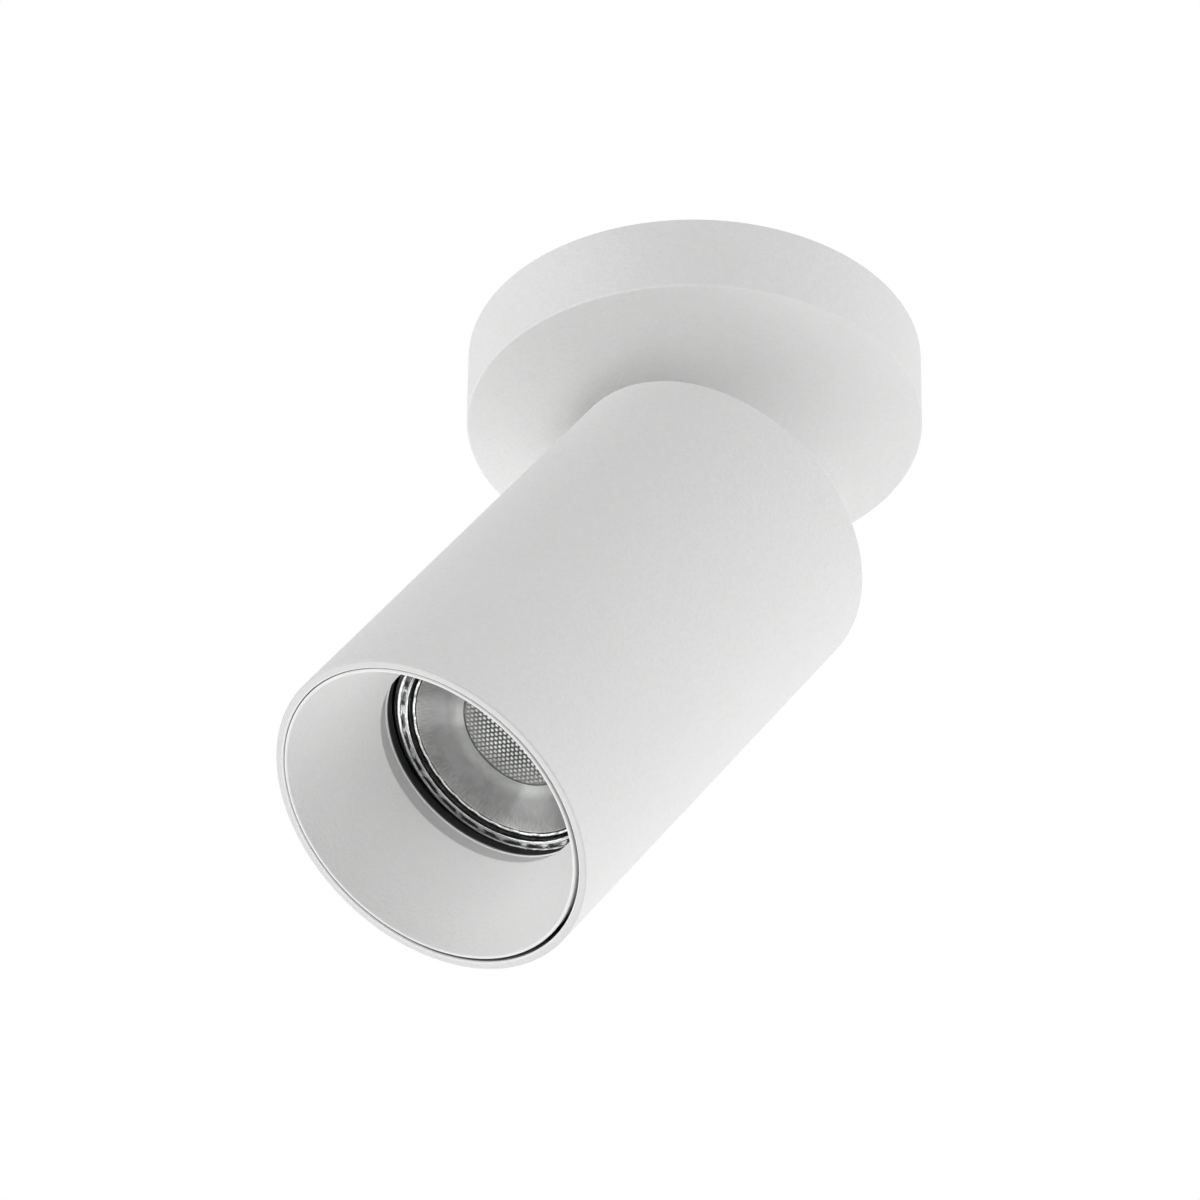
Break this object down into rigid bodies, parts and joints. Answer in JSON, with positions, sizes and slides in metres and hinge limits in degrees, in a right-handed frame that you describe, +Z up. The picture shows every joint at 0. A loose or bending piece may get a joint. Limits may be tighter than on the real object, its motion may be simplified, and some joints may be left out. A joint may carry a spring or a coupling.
{
  "type": "ceiling spotlight",
  "caption": "Surface-mounted ceiling spotlight: a round canopy carries a swivelling stem, and a tilting cylindrical head holds a recessed reflector lamp behind a white baffle.",
  "frame": {"origin": "on the ceiling plane, in the middle of the canopy and of the two fixing slots", "axes": "+Z up into the ceiling, X along the ceiling bracket's bar and its two slots, +Y towards the terminal block; the picture looks along +Y from below"},
  "size_m": [0.1287, 0.108, 0.1532],
  "materials": {
    "white_paint": "fine textured white powder coat, matte",
    "white_aluminium": "aluminium under fine textured white powder coat, matte",
    "white_plastic": "matte white moulding",
    "black_plastic": "matte black moulding",
    "zinc_steel": "zinc-plated steel",
    "spring_steel": "bright spring steel",
    "brass": "plain brass",
    "nylon": "natural nylon",
    "ceramic": "unglazed steatite",
    "lead_sleeving": "white silicone sleeving",
    "nickel": "nickel-plated",
    "lamp_glass": "pressed glass with a silvered inside",
    "lens_plastic": "clear moulded lens, dimpled in the middle",
    "board": "white-masked board with a yellow phosphor chip"
  },
  "bodies": {
    "ceiling_mount": {"canopy": "white_paint", "ceiling_bracket": "zinc_steel", "side_screws": "zinc_steel", "terminal_block": "nylon", "terminal_sleeves": "brass", "terminal_screws": "zinc_steel", "block_screw": "zinc_steel", "earth_screw": "zinc_steel", "earth_washer": "brass", "supply_leads": "lead_sleeving", "stop_peg": "zinc_steel", "swivel_washer_inner": "nylon", "swivel_washer_outer": "nylon"},
    "stem": {"swivel_stem": "white_paint", "stop_disc": "zinc_steel", "stem_nut": "brass", "lock_nut": "brass", "stem_lead_sleeve": "lead_sleeving", "hinge_screws": "zinc_steel", "friction_washers": "nylon", "spring_washers": "spring_steel"},
    "head": {"head_casing": "white_aluminium", "hinge_bracket": "zinc_steel", "body_screws": "zinc_steel", "body_nuts": "zinc_steel", "holder_bridge": "zinc_steel", "lampholder": "ceramic", "holder_contacts": "brass", "holder_screws": "zinc_steel", "holder_nuts": "zinc_steel", "holder_leads": "lead_sleeving"},
    "lamp": {"lamp_base": "ceramic", "lamp_pins": "nickel", "lamp_cup": "lamp_glass", "lamp_lens": "lens_plastic", "lamp_led_board": "board"},
    "insert": {"baffle_insert": "white_plastic", "insert_springs": "spring_steel", "lamp_ring": "black_plastic"}
  },
  "joints": [
    {"name": "swivel", "type": "hinge", "parent": "ceiling_mount", "child": "stem", "pos_m": [0, 0, -0.0181], "axis": [0, 0, 1], "range_deg": [-102, 226]},
    {"name": "tilt", "type": "hinge", "parent": "stem", "child": "head", "pos_m": [0, 0, -0.0483], "axis": [-0.4679, 0.8838, 0], "range_deg": [-34.3, 10.7]},
    {"name": "lamp_turn", "type": "hinge", "parent": "head", "child": "lamp", "pos_m": [0, 0, -0.0483], "axis": [-0.498, -0.2637, -0.8261], "range_deg": [0, 28]},
    {"name": "insert_pull", "type": "slide", "parent": "head", "child": "insert", "axis": [-0.498, -0.2637, -0.8261], "range_m": [0, 0.022]}
  ]
}
